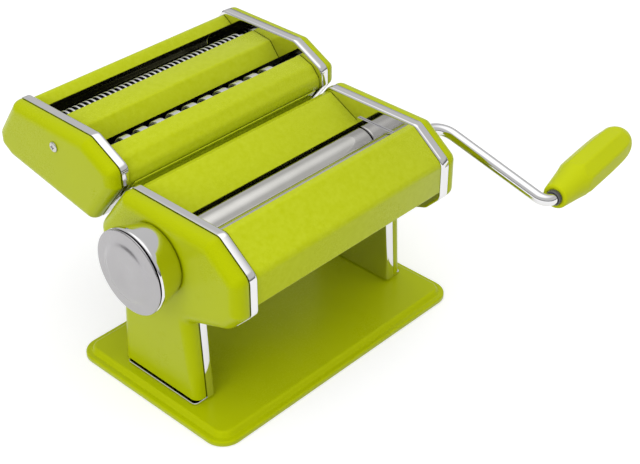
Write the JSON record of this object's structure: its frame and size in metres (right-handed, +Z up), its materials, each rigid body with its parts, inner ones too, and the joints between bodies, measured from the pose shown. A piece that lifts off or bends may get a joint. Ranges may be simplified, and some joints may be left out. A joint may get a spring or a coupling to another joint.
{
  "type": "pasta machine",
  "caption": "Hand-cranked pasta machine on a flat base, with smooth rollers, a thickness knob and a lift-off head of fine and wide cutters.",
  "frame": {"origin": "centre of the bounding box in X and Y, on the surface that the rubber feet stand on", "axes": "+X along the rollers towards the crank, +Y to the back where the cutter head hangs, +Z up"},
  "size_m": [0.3438, 0.2602, 0.155],
  "materials": {
    "green_paint": "gloss lime green lacquer",
    "chrome": "mirror bright",
    "satin_steel": "satin",
    "dark_steel": "black",
    "nylon": "moulded",
    "black_plastic": "moulded",
    "green_plastic": "moulded",
    "rubber": "moulded"
  },
  "bodies": {
    "machine": {"base_plate": "green_paint", "rubber_foot_front_left": "rubber", "rubber_foot_front_right": "rubber", "rubber_foot_rear_left": "rubber", "rubber_foot_rear_right": "rubber", "side_plate_left": "chrome", "side_plate_right": "chrome", "side_cover_left": "green_paint", "side_cover_right": "green_paint", "front_panel": "green_paint", "rear_panel": "green_paint", "tie_rod_front_low": "satin_steel", "tie_rod_rear_low": "satin_steel", "tie_rod_front_top": "satin_steel", "front_scraper": "satin_steel", "rear_scraper": "satin_steel", "front_bush_left": "nylon", "front_bush_right": "nylon", "hanger_rail": "dark_steel"},
    "front_roller": {"front_roller": "satin_steel", "front_roller_gear": "nylon"},
    "crank": {"crank_rod": "chrome"},
    "crank_handle": {"crank_grip": "green_plastic", "grip_washer": "black_plastic"},
    "roller_carriage": {"roller_carrier_left": "satin_steel", "roller_carrier_right": "satin_steel"},
    "rear_roller": {"rear_roller": "satin_steel", "rear_roller_gear": "nylon"},
    "knob_shaft": {"knob_spindle": "satin_steel", "knob_spring": "satin_steel"},
    "knob": {"knob_skirt": "chrome", "knob_face": "satin_steel"},
    "cutter_head": {"cutter_plate_left": "chrome", "cutter_plate_right": "chrome", "cutter_cover_left": "green_paint", "cutter_cover_right": "green_paint", "cover_screw_left": "satin_steel", "cover_screw_right": "satin_steel", "cutter_back_panel": "green_paint", "cutter_roof_panel": "green_paint", "cutter_front_panel": "green_paint", "cutter_tie_rod_front": "satin_steel", "cutter_tie_rod_rear": "satin_steel", "fine_bush_block_left": "nylon", "fine_bush_block_right": "nylon", "wide_bush_block_left": "nylon", "wide_bush_block_right": "nylon", "fine_comb": "black_plastic", "wide_comb": "black_plastic", "hook_strip": "dark_steel"},
    "fine_cutter_front": {"fine_cutter_front": "satin_steel", "fine_gear_front": "nylon", "fine_crank_socket": "satin_steel"},
    "fine_cutter_rear": {"fine_cutter_rear": "satin_steel", "fine_gear_rear": "nylon"},
    "wide_cutter_front": {"wide_cutter_front": "satin_steel", "wide_gear_front": "nylon", "wide_crank_socket": "satin_steel"},
    "wide_cutter_rear": {"wide_cutter_rear": "satin_steel", "wide_gear_rear": "nylon"}
  },
  "joints": [
    {"name": "crank_turn", "type": "hinge", "parent": "machine", "child": "front_roller", "pos_m": [-0.05533, -0.04084, 0.109], "axis": [1, 0, 0], "continuous": true},
    {"name": "crank_pull", "type": "slide", "parent": "front_roller", "child": "crank", "axis": [1, 0, 0], "range_m": [0, 0.035]},
    {"name": "grip_spin", "type": "hinge", "parent": "crank", "child": "crank_handle", "pos_m": [0.0862, -0.12169, 0.08116], "axis": [0.9952, 0.0923, 0.0318], "continuous": true},
    {"name": "knob_turn", "type": "hinge", "parent": "machine", "child": "knob_shaft", "pos_m": [-0.15033, -0.01554, 0.1046], "axis": [-1, 0, 0], "range_deg": [0, 180]},
    {"name": "knob_pull", "type": "slide", "parent": "knob_shaft", "child": "knob", "axis": [-1, 0, 0], "range_m": [0, 0.004], "stiffness_N_per_m": 500, "springref_m": -0.004},
    {"name": "roller_gap", "type": "slide", "parent": "machine", "child": "roller_carriage", "axis": [0, 1, 0], "range_m": [0, 0.0022]},
    {"name": "rear_roller_turn", "type": "hinge", "parent": "roller_carriage", "child": "rear_roller", "pos_m": [-0.05533, -0.01664, 0.1046], "axis": [1, 0, 0], "continuous": true},
    {"name": "cutter_lift", "type": "slide", "parent": "machine", "child": "cutter_head", "axis": [0, -0.606, 0.7955], "range_m": [0, 0.06]},
    {"name": "fine_turn", "type": "hinge", "parent": "cutter_head", "child": "fine_cutter_front", "pos_m": [-0.05533, 0.08686, 0.1402], "axis": [1, 0, 0], "continuous": true},
    {"name": "fine_partner_turn", "type": "hinge", "parent": "cutter_head", "child": "fine_cutter_rear", "pos_m": [-0.05533, 0.10011, 0.13255], "axis": [1, 0, 0], "continuous": true},
    {"name": "wide_turn", "type": "hinge", "parent": "cutter_head", "child": "wide_cutter_front", "pos_m": [-0.05533, 0.04386, 0.1362], "axis": [1, 0, 0], "continuous": true},
    {"name": "wide_partner_turn", "type": "hinge", "parent": "cutter_head", "child": "wide_cutter_rear", "pos_m": [-0.05533, 0.05711, 0.12855], "axis": [1, 0, 0], "continuous": true}
  ],
  "couplings": [
    {"joint": "rear_roller_turn", "follows": "crank_turn", "ratio": -1},
    {"joint": "knob_turn", "follows": "roller_gap", "rad_per_m": 1428.6},
    {"joint": "fine_partner_turn", "follows": "fine_turn", "ratio": -1},
    {"joint": "wide_partner_turn", "follows": "wide_turn", "ratio": -1}
  ]
}
